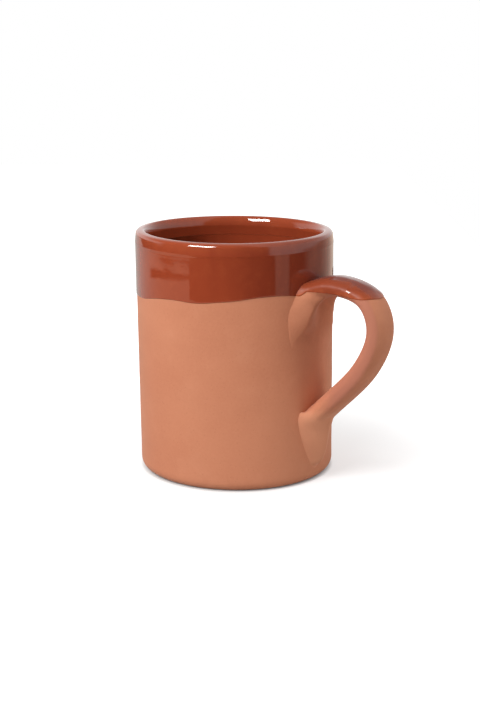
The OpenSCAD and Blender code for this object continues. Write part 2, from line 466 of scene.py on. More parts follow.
STRAP_KNOTS = [
    (-0.051, 0.952), (0.404, 1.0), (0.859, 0.923), (1.0, 0.7), (0.753, 0.4145), (0.195, 0.117),
    (-0.051, 0.0),
]
STRAP_WIDTHS = [1.42, 1.1, 1.035, 1.0, 1.0, 1.09, 1.42]
STRAP_THICKNESSES = [0.98, 0.935, 0.893, 0.985, 1.075, 1.078, 1.073]
# How square its oval section is: 2 would be an ellipse
SECTION_POWER = 2.3
STRAP_SIDES, STRAP_RINGS = 72, 116
# How far it runs on into the wall past its first and last knots, in knots
STRAP_OVERRUN = 0.25


def through(table, at):
    """The smooth curve through a table's rows that the strap follows."""
    rows = np.array(table, dtype=float).reshape(len(table), -1)
    rows = np.vstack([2 * rows[0] - rows[1], rows, 2 * rows[-1] - rows[-2]])
    i = np.minimum(np.floor(at).astype(int), len(table) - 2)
    t = (at - i)[:, None]
    a, b, c, d = rows[i], rows[i + 1], rows[i + 2], rows[i + 3]
    cubic = 2 * b + (c - a) * t + (2 * a - 5 * b + 4 * c - d) * t**2 + (3 * b - a - 3 * c + d) * t**3
    return cubic / 2


def strap_frame(at):
    """Middle, heading, half-width and half-thickness of the strap at each place along it."""
    cup, handle = settings("cup"), settings("handle")
    spans = len(STRAP_KNOTS) - 1
    inside = np.clip(at, 0, spans)

    def middle(where):
        size = (handle.reach, handle.top - handle.bottom)
        return (cup.foot_radius, handle.bottom) + size * through(STRAP_KNOTS, where)

    ahead = middle(np.minimum(inside + 0.01, spans)) - middle(np.maximum(inside - 0.01, 0))
    ahead /= np.linalg.norm(ahead, axis=1)[:, None]
    centre = middle(inside) + ahead * ((at - inside) * 0.012)[:, None]
    width = handle.strap_width / 2 * through(STRAP_WIDTHS, inside)[:, 0]
    thickness = handle.strap_thickness / 2 * through(STRAP_THICKNESSES, inside)[:, 0]
    return centre, ahead, width, thickness


def strap_surface(at, angle):
    """Points on the strap, at places along it and angles round it, with its slight unevenness."""
    centre, ahead, width, thickness = strap_frame(at)
    oval = np.stack([np.cos(angle), np.sin(angle)])
    across, out = np.sign(oval) * np.abs(oval) ** (2 / SECTION_POWER)
    pull = 0.09 * np.sin(5 * angle + 0.5 * at) + 0.05 * np.sin(9 * angle - 0.7 * at)
    pull += 0.12 * np.sin(2.1 * at + 1) * np.cos(angle)
    rise = thickness * out + pull * MM * np.abs(out)
    x = centre[:, 0] - ahead[:, 1] * rise
    z = centre[:, 1] + ahead[:, 0] * rise
    return np.stack([x, across * (width + pull * MM), z], axis=1)


# The clay wiped over the joints

UPPER_HALF_WIDTH = [
    (49.5, 5), (51, 8), (54, 12.6), (57, 15), (60, 15.6), (63.4, 15.9), (67.5, 16), (71, 15.8),
    (73.4, 15.2), (76, 13.8), (78.3, 12.6), (80.5, 11.4), (82.5, 9.6), (83.6, 8),
]
CREST_PLACE = [
    (49.5, 0.9), (56, 0.93), (59.4, 0.87), (62.5, 0.71), (66, 0.58), (70, 0.53), (72.7, 0.48),
    (75, 0.45), (76.7, 0.42), (79, 0.42), (83.6, 0.45),
]
NEAR_CREST_HEIGHT = [
    (49.5, 0), (53, 0), (56, 0.01), (59.4, 0.08), (62.5, 0.3), (66, 0.72), (70, 1.05),
    (72.7, 1.24), (75, 1.5), (76.7, 1.85), (78.3, 2.2), (80, 1.9), (82, 0.8), (83.6, 0),
]
FAR_CREST_HEIGHT = [
    (49.5, 0), (53, 0.03), (57, 0.12), (61, 0.36), (65, 0.66), (70, 0.9), (72.7, 1.1),
    (75, 1.4), (76.7, 1.8), (78.3, 2.2), (80, 1.9), (82, 0.8), (83.6, 0),
]
HOLLOW_DEPTH = [
    (49.5, 0.1), (56, 0.3), (62, 0.6), (68, 0.7), (72, 0.7), (75, 0.6), (78, 0.2), (80, 0), (83.6, 0),
]
LOWER_HALF_WIDTH = [
    (4.4, 2.4), (6, 3.6), (10, 5.6), (16.6, 8.6), (21, 10), (24, 10.8), (27.5, 11.2), (30, 10.6),
    (31.2, 9.8),
]
LOWER_CREST_HEIGHT = [
    (4.4, 0), (6.4, 0.12), (8, 0.74), (10, 1.1), (12, 1.32), (14, 1.48), (17, 1.66), (20, 1.82),
    (24, 2.02), (28, 2.2), (29, 2.14), (30, 1.9), (31.2, 1.2),
]
LOWER_FULLNESS = [(4.4, 1.05), (15, 1.1), (20, 1.2), (24, 1.3), (28, 1.5), (31.2, 1.8)]
# Where its crest is, as a share of the half-width from the middle
LOWER_CREST_SHARE = -0.14
# The wiped clay is cut from the strap this far off the wall, and its two lots at this height
STAND_OFF = 0.0046
JOINT_SPLIT = 0.042
PATCH_DEPTH = 0.0026
VOXEL = 0.00042


def pad_skin(body, dents, s):
    """A pad's face from its body and its dents in millimetres, running into the wall past its edge."""
    return body + dents * MM * ease(1 - s, 0, 0.3) - 0.0001 - 0.003 * np.clip(s - 1, 0, 1)


def upper_pad(side, z):
    """Height of the clay wiped under the arch, at a share of its half-width."""
    s = np.abs(side)
    far = ease(side, -0.12, 0.12)
    crest = curve(CREST_PLACE, z)
    height = curve(NEAR_CREST_HEIGHT, z) * (1 - far) + curve(FAR_CREST_HEIGHT, z) * far
    height = height * settings("handle").upper_ridge
    hollow = 1 - curve(HOLLOW_DEPTH, z) * (1 - ease(s / crest, 0, 1))
    flank = np.clip((1.02 - s) / (1.02 - crest), 0, 1)
    body = height * np.where(s < crest, hollow, flank)
    dents = 0.1 * np.sin(z * 0.9 + 4 * side) * np.sin(3.2 * side + z * 0.33)
    return pad_skin(body, dents, s)


def lower_pad(side, z):
    """Height of the tail of clay wiped down from the strap's foot."""
    past = side - LOWER_CREST_SHARE
    s = np.where(past < 0, -past / (1 + LOWER_CREST_SHARE), past / (1 - LOWER_CREST_SHARE))
    height = curve(LOWER_CREST_HEIGHT, z) * settings("handle").lower_crest
    fullness = curve(LOWER_FULLNESS, z)
    body = height * (1 - np.clip(s, 0, 1) ** fullness) ** (1 / fullness)
    body *= 1 - 0.45 * ease(side, 0, 0.9)
    return pad_skin(body, 0.1 * np.sin(z * 0.55 + 3 * side), s)


def wall_patch(name, half_widths, height_at):
    """A closed patch of clay laid on the wall, its face raised by a height at each spot."""
    deselect()
    bpy.ops.mesh.primitive_grid_add(x_subdivisions=72, y_subdivisions=88, size=2, location=(0, 0, 0))
    patch = named(name)
    flat = points(patch)
    low, high = half_widths[0][0], half_widths[-1][0]
    side = flat[:, 0] * 1.08
    z = low + (high - low) * (flat[:, 1] + 1) / 2
    radius = wall_radius(z * MM)
    around = side * curve(half_widths, z) * MM / radius
    place(patch, at_polar(radius + height_at(side, z), around, z * MM))
    face_out(patch)
    middle = patch.data.polygons[len(patch.data.polygons) // 2]
    if middle.normal.xy.dot(middle.center.xy) < 0:
        edit(patch)
        bpy.ops.mesh.flip_normals()
        close()
    apply_modifier(patch, "SOLIDIFY", thickness=PATCH_DEPTH)
    return patch


def make_strap():
    """The pulled strap on its own: a circle extruded ring by ring, then laid along its path."""
    deselect()
    bpy.ops.mesh.primitive_circle_add(
        vertices=STRAP_SIDES, radius=0.01, fill_type="NOTHING", location=(0, 0, 0)
    )
    strap = named("strap")
    edit(strap)
    bpy.ops.mesh.edge_face_add()
    for _ in range(STRAP_RINGS):
        bpy.ops.mesh.extrude_region_move(TRANSFORM_OT_translate={"value": (0, 0, MM)})
    close()
    _, angle, z = polar(points(strap))
    spans = len(STRAP_KNOTS) - 1 + 2 * STRAP_OVERRUN
    place(strap, strap_surface(spans * np.round(z / MM) / STRAP_RINGS - STRAP_OVERRUN, angle))
    face_out(strap)
    return strap


def strap_depth(where):
    """How far each spot is outside the ideal strap, roughly, in metres."""
    spans = len(STRAP_KNOTS) - 1
    at = np.linspace(0, spans, 241)
    centre, ahead, width, thickness = strap_frame(at)
    away = np.hypot(where[:, :1] - centre[:, 0], where[:, 2:] - centre[:, 1])
    near = np.argmin(away, axis=1)
    across = np.abs(where[:, 1]) / width[near]
    gap = where[:, [0, 2]] - centre[near]
    out = np.abs(-ahead[near, 1] * gap[:, 0] + ahead[near, 0] * gap[:, 1]) / thickness[near]
    level = (across**SECTION_POWER + out**SECTION_POWER) ** (1 / SECTION_POWER)
    return (level - 1) * thickness[near]


def unrolled(where):
    """The wall laid out flat: height off the wall, distance round it, and height."""
    radius, around, z = polar(where)
    wall = wall_radius(z)
    return np.stack([radius - wall, wall * around, z], axis=1)


def rolled(flat):
    off, along, z = flat.T
    wall = wall_radius(z)
    return at_polar(wall + off, along / wall, z)


def make_handle_clay():
    """Strap and wiped clay worked into one skin, with its soft inner corners."""
    strap = make_strap()
    upper = wall_patch("upper wiped clay", UPPER_HALF_WIDTH, upper_pad)
    lower = wall_patch("lower wiped clay", LOWER_HALF_WIDTH, lower_pad)
    pick(strap, upper, lower)
    bpy.ops.object.join()
    clay = named("handle clay")
    apply_modifier(clay, "REMESH", mode="VOXEL", voxel_size=VOXEL)
    skin = points(clay)
    depth = np.abs(strap_depth(skin)) / settings("handle").fillet
    near = (1 - ease(unrolled(skin)[:, 0], 0.003, 0.009)) * (1 - ease(depth, 0.8, 2.6))
    joint = clay.vertex_groups.new(name="joint")
    for i, weight in enumerate(near):
        if weight > 0.01:
            joint.add([i], float(weight), "REPLACE")
    apply_modifier(clay, "SMOOTH", factor=0.6, iterations=45, vertex_group="joint")
    apply_modifier(clay, "SMOOTH", factor=0.5, iterations=5)
    clay.vertex_groups.clear()
    skin = points(clay)
    radius, _, z = polar(skin)
    least = wall_radius(z) - 0.05 * MM
    skin[:, :2] *= (np.maximum(radius, least) / radius)[:, None]
    place(clay, skin)
    return clay


def cut(piece, spot, normal, **more):
    """Bisects a piece by a plane."""
    edit(piece)
    bpy.ops.mesh.bisect(plane_co=spot, plane_no=normal, threshold=0.0005 * MM, **more)
    close()


def split_handle(clay):
    """Cuts the worked clay at the joints into the strap and the two lots of wiped clay."""
    place(clay, unrolled(points(clay)))
    names = ("handle_strap_clay", "upper_wiped_clay", "lower_wiped_clay")
    strap, upper, lower = pieces = [copy_of(clay, name) for name in names]
    cut(strap, (STAND_OFF, 0, 0), (-1, 0, 0), use_fill=True, clear_outer=True)
    for piece, up in ((upper, -1), (lower, 1)):
        cut(piece, (STAND_OFF, 0, 0), (1, 0, 0), use_fill=True, clear_outer=True)
        cut(piece, (0, 0, JOINT_SPLIT), (0, 0, up), clear_outer=True)
    for piece in pieces:
        place(piece, rolled(points(piece)))
    return pieces


# Materials


class Shader:
    """The node tree of a material or of the room, built a node at a time."""

    def __init__(self, owner, space="Object"):
        owner.use_nodes = True
        self.owner, self.tree = owner, owner.node_tree
        self.surface = self.tree.nodes.get("Principled BSDF")
        self.coordinates = self.add("TexCoord").outputs[space]

    def add(self, kind, sockets=None, **values):
        node = self.tree.nodes.new("ShaderNode" + kind)
        for key, value in values.items():
            setattr(node, key, value)
        self.feed(node, sockets or {})
        return node

    def feed(self, node, sockets):
        """Gives a node's sockets their links and values."""
        for key, value in sockets.items():
            if isinstance(value, bpy.types.NodeSocket):
                self.tree.links.new(value, node.inputs[key])
            elif value is not None:
                node.inputs[key].default_value = value

    def stretched(self, scale):
        sockets = {"Scale": scale, "Vector": self.coordinates}
        return self.add("Mapping", sockets).outputs["Vector"]

    def noise(self, scale, detail=4, roughness=0.5, vector=None, distortion=0):
        return self.add("TexNoise", {
            "Scale": scale, "Detail": detail, "Roughness": roughness, "Distortion": distortion,
            "Vector": vector or self.coordinates,
        }).outputs["Fac"]

    def cells(self, scale):
        sockets = {"Scale": scale, "Vector": self.coordinates}
        return self.add("TexVoronoi", sockets).outputs["Distance"]

    def ranged(self, value, low, high, to_low=0.0, to_high=1.0, smooth=True):
        return self.add("MapRange", {
            "Value": value, "From Min": low, "From Max": high, "To Min": to_low, "To Max": to_high,
        }, interpolation_type="SMOOTHSTEP" if smooth else "LINEAR").outputs["Result"]

    def maths(self, operation, first, second=0.0):
        return self.add("Math", {0: first, 1: second}, operation=operation).outputs["Value"]

    def times(self, first, second):
        return self.maths("MULTIPLY", first, second)

    def plus(self, first, second):
        return self.maths("ADD", first, second)

    def mixed(self, share, first, second, blend="MIX"):
        first, second = [
            c if isinstance(c, bpy.types.NodeSocket) else (*c, 1) for c in (first, second)
        ]
        sockets = {0: share, 6: first, 7: second}
        return self.add("Mix", sockets, data_type="RGBA", blend_type=blend).outputs[2]

    def coordinate(self, axis):
        return self.add("SeparateXYZ", {0: self.coordinates}).outputs[axis]

    def bump(self, height, strength, distance, under=None):
        return self.add("Bump", {
            "Height": height, "Strength": strength, "Distance": distance, "Normal": under,
        }).outputs["Normal"]

    def from_lens(self):
        """The axes turned so that X points to the lens, and the angle round the mug from there."""
        sockets = {"Vector": self.coordinates, "Angle": LENS_TURN}
        turned = self.add("VectorRotate", sockets, rotation_type="Z_AXIS")
        axes = self.add("SeparateXYZ", {0: turned.outputs[0]}).outputs
        return axes, self.maths("ARCTAN2", axes["Y"], axes["X"])


# How fine the clay's cloudy patches, finger smears, dust, grog and blots are
CLOUD, SMEAR, DUST, GROG, BLOT = 26, 1, 900, 620, 75
WALL_SMEAR, STRAP_SMEAR = (14, 14, 230), (60, 260, 60)
# Below this height the wiped tail is painted this much paler, a painted light on its face
TAIL_TOP, TAIL_PAINTED_LIGHT = 0.034, 0.5


def clay_material(name, *colours):
    """Bare fired terracotta: cloudy colour, fine grog, dust and the marks of wet fingers; given a
    fourth colour, also painted shade on the strap's flanks and painted light on the wiped tail.
    """
    finish = settings("finish")
    base, dark, pale, *edge = [getattr(finish, key)[:] for key in colours]
    roughness = finish.clay_roughness
    shade = Shader(bpy.data.materials.new(name))
    cloud = shade.noise(CLOUD, 3, 0.55)
    smear = shade.noise(SMEAR, 3, 0.5, shade.stretched(STRAP_SMEAR if edge else WALL_SMEAR))
    dust = shade.noise(DUST, 3, 0.6)
    blot = shade.noise(BLOT, 4, 0.6)
    tone = shade.mixed(shade.ranged(cloud, 0.34, 0.68, 0.34, 0.74), dark, base)
    tone = shade.mixed(shade.ranged(blot, 0.5, 0.78, 0.08, 0.3), tone, pale)
    tone = shade.mixed(shade.ranged(smear, 0.45, 0.75, 0.04, 0.22), tone, base)
    speck = shade.times(shade.ranged(shade.cells(GROG), 0.2, 0.05), 0.16)
    tone = shade.mixed(speck, tone, [c * 0.5 for c in dark])
    tone = shade.mixed(shade.ranged(dust, 0.3, 0.75, 0.02, 0.16), tone, pale)
    if edge:
        # Painted shade: the strap's flanks away from the wall are painted darker with the fourth colour
        side = shade.ranged(shade.maths("ABSOLUTE", shade.coordinate("Y")), 0.0056, 0.0074)
        along = shade.ranged(shade.coordinate("X"), 0.046, 0.056, 0, 0.95)
        tone = shade.mixed(shade.times(side, along), tone, edge[0])
        # Painted light: the wiped tail low on the handle is painted paler
        tail = shade.ranged(shade.coordinate("Z"), TAIL_TOP - 0.005, TAIL_TOP, TAIL_PAINTED_LIGHT, 0)
        tone = shade.mixed(tail, tone, pale)
    soft = shade.bump(smear, 0.25, 0.00035)
    soft = shade.bump(blot, 0.3, 0.00025, soft)
    shade.feed(shade.surface, {
        "Base Color": tone,
        "Roughness": shade.ranged(dust, 0.2, 0.8, roughness - 0.08, min(roughness + 0.08, 1)),
        "Normal": shade.bump(dust, 0.35, 0.00012, soft),
        "IOR": 1.45,
        "Specular IOR Level": 0.3,
        "Sheen Weight": 0.16,
        "Sheen Roughness": 0.4,
        "Sheen Tint": (1, 0.9, 0.82, 1),
    })
    return shade.owner


# The arch's glaze runs thin below here, and is dry along its flanks but for a short stretch
ARCH_THIN_TOP, ARCH_THIN_HEIGHT = 0.083, 0.0046
ARCH_WET_START, ARCH_WET_END = 0.0586, 0.0614
GLAZE_COAT = 0.25


def glaze_material(name, arch=False, inside=0.0):
    """Brown lead-look glaze: glassy, uneven in depth, paler where it breaks over the lip, with painted
    shade on the handle's side of the cup and, for the liner, on the inside's left.
    """
    finish = settings("finish")
    base, thin, deep = finish.glaze[:], finish.glaze_thin_and_highlight[:], finish.glaze_deep_and_shade[:]
    lip_z = settings("cup").height + settings("glaze").thickness
    shade = Shader(bpy.data.materials.new(name))
    x, y, z = [shade.coordinate(axis) for axis in "XYZ"]
    drift = shade.noise(38, 4, 0.5, shade.stretched((1, 1, 0.45)), 0.6)
    fleck = shade.noise(240, 3, 0.6)
    tone = shade.mixed(shade.ranged(drift, 0.3, 0.6, 0.8, 1), deep, base)
    # Painted shade: the glaze darkens towards the handle's side of the cup
    tone = shade.mixed(shade.ranged(x, 0.018, 0.042, 0, 0.46), tone, deep)
    # Painted shade: inside, the wall on the lens's left, below the lip's flare, is painted darker
    if inside:
        right = shade.plus(shade.times(x, LENS_RIGHT[0]), shade.times(y, LENS_RIGHT[1]))
        under = shade.ranged(z, lip_z - 0.008, lip_z - 0.005, 1, 0)
        share = shade.times(shade.ranged(right, -0.033, -0.003, inside, 0), under)
        tone = shade.mixed(share, tone, [c * 0.35 for c in deep])
    tone = shade.mixed(shade.ranged(fleck, 0.45, 0.75, 0, 0.1), tone, thin)
    lip = shade.plus(z, shade.ranged(drift, 0.2, 0.8, -0.0012, 0.0012))
    tone = shade.mixed(shade.ranged(lip, lip_z - 0.005, lip_z - 0.0008, 0, 0.2), tone, thin)
    gloss = shade.ranged(drift, 0.3, 0.8, finish.glaze_roughness * 0.8, finish.glaze_roughness * 1.5)
    coat = {"Coat Weight": GLAZE_COAT}
    if arch:
        low = shade.plus(z, shade.ranged(fleck, 0.2, 0.8, -0.0012, 0.0012))
        low = shade.ranged(low, ARCH_THIN_TOP - ARCH_THIN_HEIGHT, ARCH_THIN_TOP, 0.8, 0)
        tone = shade.mixed(low, tone, thin)
        side = shade.plus(shade.maths("ABSOLUTE", y), shade.ranged(fleck, 0.3, 0.7, -0.0009, 0.0009))
        flank = shade.ranged(side, 0.0036, 0.0058)
        # Thin glaze over the flanks, partly a painted soft highlight
        tone = shade.mixed(shade.times(flank, 0.3), tone, thin)
        before = shade.ranged(x, ARCH_WET_START, ARCH_WET_START + 0.001, 1, 0.35)
        after = shade.ranged(x, ARCH_WET_END - 0.001, ARCH_WET_END)
        dry = shade.times(flank, shade.maths("MINIMUM", shade.plus(before, after), 1))
        gloss = shade.plus(gloss, shade.times(dry, 0.42))
        coat = {
            "Specular IOR Level": shade.ranged(dry, 0, 1, 0.5, 0.12),
            "Coat Weight": shade.ranged(dry, 0, 1, GLAZE_COAT, 0),
        }
    pits = shade.ranged(shade.cells(330), 0.0, 0.11)
    rare = shade.ranged(shade.noise(120, 2), 0.62, 0.7, 0, 1)
    pinhole = shade.times(shade.maths("SUBTRACT", 1, pits), rare)
    soft = shade.bump(shade.noise(170 if arch else 55, 1, 0.4), 0.45 if arch else 0.1, 0.0012)
    soft = shade.bump(shade.noise(420, 2, 0.5), 0.04, 0.0002, soft)
    shade.feed(shade.surface, {
        "Base Color": tone,
        "Roughness": gloss,
        "Normal": shade.bump(shade.maths("SUBTRACT", 1, pinhole), 0.35, 0.0002, soft),
        "IOR": 1.56,
        "Coat Roughness": 0.03,
        **coat,
    })
    return shade.owner


# The pieces

# Rows up the wall, down the inside, and where the dip covers them
WALL_ROWS, INSIDE_ROWS, DIP_ROWS, DIP_BACK_ROWS = 76, 60, 24, 28
DISH_ROWS, FOOT_ROWS = 16, 12
# The dip's thin edge: millimetres above it, and the share of the full coat there
DIP_EDGE = [(0, 0), (0.01, 0.3), (0.04, 0.58), (0.09, 0.78), (0.2, 0.9), (0.6, 0.97), (1.6, 1)]
# The same on the arch: where rows are cut in, and where the coat is full
ARCH_EDGE_ROWS = (0.00008, 0.0002, 0.0005)
ARCH_EDGE = 0.0003
ARCH_BEAD = 0.15


class ThrowCup(Operator):
    """Throws the clay cup: one outline of wall, lip, floor and foot spun about the axis"""

    bl_idname = "clay_mug.throw_cup"
    bl_label = "Throw the Cup"

    def execute(self, context):
        cup = settings("cup")
        edge = cup.foot_radius - cup.foot_round - cup.foot_ring
        shares = [i / DISH_ROWS for i in range(DISH_ROWS + 1)]
        dish = [(edge * share, cup.foot_dish * (1 - share**2)) for share in shares]
        centre = (cup.foot_radius - cup.foot_round, cup.foot_round)
        foot = arc(centre, cup.foot_round, -90, 0, FOOT_ROWS)[:-1]
        wall = outside_outline(0, cup.foot_round, WALL_ROWS)
        inner = inside_outline(0, corner_height(), INSIDE_ROWS)[1:-1]
        piece = turn("thrown_cup", dish + foot + wall + inner + floor_outline(0), False)
        clay = clay_material("fired_terracotta", "clay", "clay_dark", "clay_pale_and_painted_light")
        finish_piece(piece, clay, "bare_clay", "cup_body")
        return {"FINISHED"}


class GlazeInside(Operator):
    """Pours the liner glaze over the inside of the cup, up to the dipped rim"""

    bl_idname = "clay_mug.glaze_inside"
    bl_label = "Glaze the Inside"

    def execute(self, context):
        glaze = settings("glaze")
        top = settings("cup").height - glaze.dip_inside + 0.4 * MM
        sides = []
        for grow in (0, glaze.thickness):
            side = inside_outline(grow, corner_height(), INSIDE_ROWS)[:-1]
            sides.append([spot for spot in side if spot[1] <= top] + floor_outline(grow))
        piece = turn("poured_liner", sides[1][::-1] + sides[0], False)
        # The liner carries painted shade on its left side below the lip
        gloss = glaze_material("poured_gloss", inside=0.92)
        finish_piece(piece, gloss, "liner_glaze", "liner_glaze")
        return {"FINISHED"}


class GlazeRim(Operator):
    """Lays the dipped glaze over the lip, down to its wandering edge outside"""

    bl_idname = "clay_mug.glaze_rim"
    bl_label = "Dip the Rim"

    def execute(self, context):
        cup, glaze = settings("cup"), settings("glaze")
        low, top = glaze.dip_height, cup.height - glaze.dip_inside
        coat = glaze.thickness
        outer = [
            (wall_radius(low + up * MM) + share * coat, low + up * MM) for up, share in DIP_EDGE
        ]
        outer += outside_outline(coat, low + 3.5 * MM, DIP_ROWS)
        outer += inside_outline(coat, top, DIP_ROWS)[1:]
        inner = inside_outline(0, top, DIP_ROWS)[::-1]
        inner += outside_outline(0, low + 0.9 * MM, DIP_BACK_ROWS)[::-1][1:]
        piece = turn("dipped_rim", outer + inner, True)
        skin = points(piece)
        radius, around, z = polar(skin)
        outside = radius > cup.lip_radius - cup.wall / 2
        x, y, _ = at_polar(wall_radius(z), around, z).T
        shift = (dip_plane(x, y) + dip_wave(around) - low) * (1 - ease(z, low, low + 0.015))
        skin[:, 2] += np.where(outside, shift, 0)
        place(piece, skin)
        finish_piece(piece, glaze_material("dipped_gloss"), "brown_glaze", "rim_glaze")
        return {"FINISHED"}


class PullHandle(Operator):
    """Pulls the strap handle and wipes its clay over both joints"""

    bl_idname = "clay_mug.pull_handle"
    bl_label = "Pull the Handle"

    def execute(self, context):
        clay = make_handle_clay()
        skin = copy_of(clay, "handle skin")
        finish = clay_material("pulled_terracotta", "clay", "clay_dark", "clay_pale_and_painted_light", "strap_shade")
        nodes = ("handle_strap", "upper_joint_clay", "lower_joint_clay")
        for piece, node in zip(split_handle(clay), nodes):
            finish_piece(piece, finish, "bare_clay", node)
        bpy.data.objects.remove(clay)
        self.dip(skin)
        return {"FINISHED"}

    def dip(self, skin):
        """Lays the dipped glaze over the arch, down to the same dip line as the rim's."""

        def shift(way):
            where = points(skin)
            where[:, 2] += way * dip_line(where)
            place(skin, where)

        shift(-1)
        cut(skin, (0, 0, 0), (0, 0, -1), clear_outer=True)
        for up in ARCH_EDGE_ROWS:
            cut(skin, (0, 0, up), (0, 0, 1))
        shift(1)
        gap = unrolled(read(skin.data.polygons, "center"))[:, 0]
        select(skin, "polygons", gap < -0.03 * MM)
        bpy.ops.object.mode_set(mode="EDIT")
        bpy.ops.mesh.select_mode(type="FACE")
        bpy.ops.mesh.delete(type="FACE")
        close()
        where = points(skin)
        above = where[:, 2] - dip_line(where)
        share = np.clip(above / ARCH_EDGE, 0, 1)
        thick = np.sqrt(1 - (1 - share) ** 2)
        thick *= 1 + ARCH_BEAD * (1 - ease(above, 0.0012, 0.0026))
        coat = skin.vertex_groups.new(name="coat")
        for i, weight in enumerate(thick):
            coat.add([i], float(max(weight, 0.02)) / (1 + ARCH_BEAD), "REPLACE")
        apply_modifier(
            skin, "SOLIDIFY", thickness=settings("glaze").thickness * (1 + ARCH_BEAD), offset=1,
            vertex_group="coat",
        )
        skin.vertex_groups.clear()
        skin.name = "dipped_arch"
        gloss = glaze_material("dipped_arch_gloss", arch=True)
        finish_piece(skin, gloss, "brown_glaze", "handle_glaze")


class FinishSlip(Operator):
    """Gives the bonding slip under the handle's ends its own clay finish"""

    bl_idname = "clay_mug.finish_slip"
    bl_label = "Finish the Slip"

    def execute(self, context):
        slip = clay_material("bonding_slip", "slip", "clay_dark", "clay")
        for name in ("upper_slip", "lower_slip"):
            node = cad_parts[name]
            node.data.materials.clear()
            node.data.materials.append(slip)
        return {"FINISHED"}


# The stage

MIDDLE = Vector((0, 0, 0.05))
# Lights: metres from the mug's middle, degrees to the right of the lens and up, width and height
KEY_PLACE, KEY_SIZE = (0.95, -42, 40), (0.58, 0.58)
SIDE_PLACE, RIM_PLACE, SIDE_SIZE = (1.1, 66, 5), (1.1, 128, 5), (0.4, 0.4)
GLINT_PLACE, GLINT_SIZE = (0.95, -41, 40), (0.42, 0.34)
CAMERA_PLACE, CAMERA_DIP = (0.3307, -0.4519, 0.1852), 0.246
LENS_LENGTH, SENSOR_WIDTH = 68.42, 36
# The table's back edge, and how its front left edge slants
TABLE_BACK, TABLE_INSET, TABLE_SLANT = 1.2, 1.16, 0.78

# How bright the room mirrors, by degrees to the right of the lens: below the table's level
ROOM_LOW = [
    (-150, 0.9), (-132, 0.03), (46, 0.01), (48, 0.46), (63, 0.46), (66, 0.03), (84, 0.04), (95, 0.42),
    (116, 0.38), (128, 0.55), (140, 0.7), (150, 0.9),
]
# and from the table's level up to about 20 degrees above it
ROOM_HIGH = [(-150, 1), (-98, 0.9), (-88, 0.06), (39, 0.03), (44, 0.72), (124, 0.72), (150, 1)]
# and above that
ROOM_TOP = [(-150, 0.4), (-120, 0.1), (30, 0.08), (40, 0.62), (110, 0.5), (140, 0.45), (165, 0.4)]
# What the glaze mirrors: a tint below the table's level, the table cool at the back and warm in
# front, and a dark strip on it
LOW_TINT = (1, 0.84, 0.7)
COOL_PAPER, WARM_PAPER, STRIP = (0.62, 0.65, 0.62), (0.94, 0.58, 0.42), (0.02, 0.01, 0.01)
PAPER = (0.5, 0.5, 0.5)
SHADOW_DEPTH = 2 * MM


def panel_light(name, place, size, power):
    """A soft light: its azimuth turns to the right as the camera sees it."""
    distance, azimuth, elevation = place
    a, e = math.radians(azimuth) - LENS_TURN, math.radians(elevation)
    away = Vector((math.cos(e) * math.cos(a), math.cos(e) * math.sin(a), math.sin(e)))
    turned = away.to_track_quat("Z", "Y").to_euler()
    bpy.ops.object.light_add(type="AREA", location=MIDDLE + distance * away, rotation=turned)
    lamp = named(name)
    lamp.data.shape = "RECTANGLE"
    lamp.data.size, lamp.data.size_y = size
    lamp.data.energy = power
    return lamp


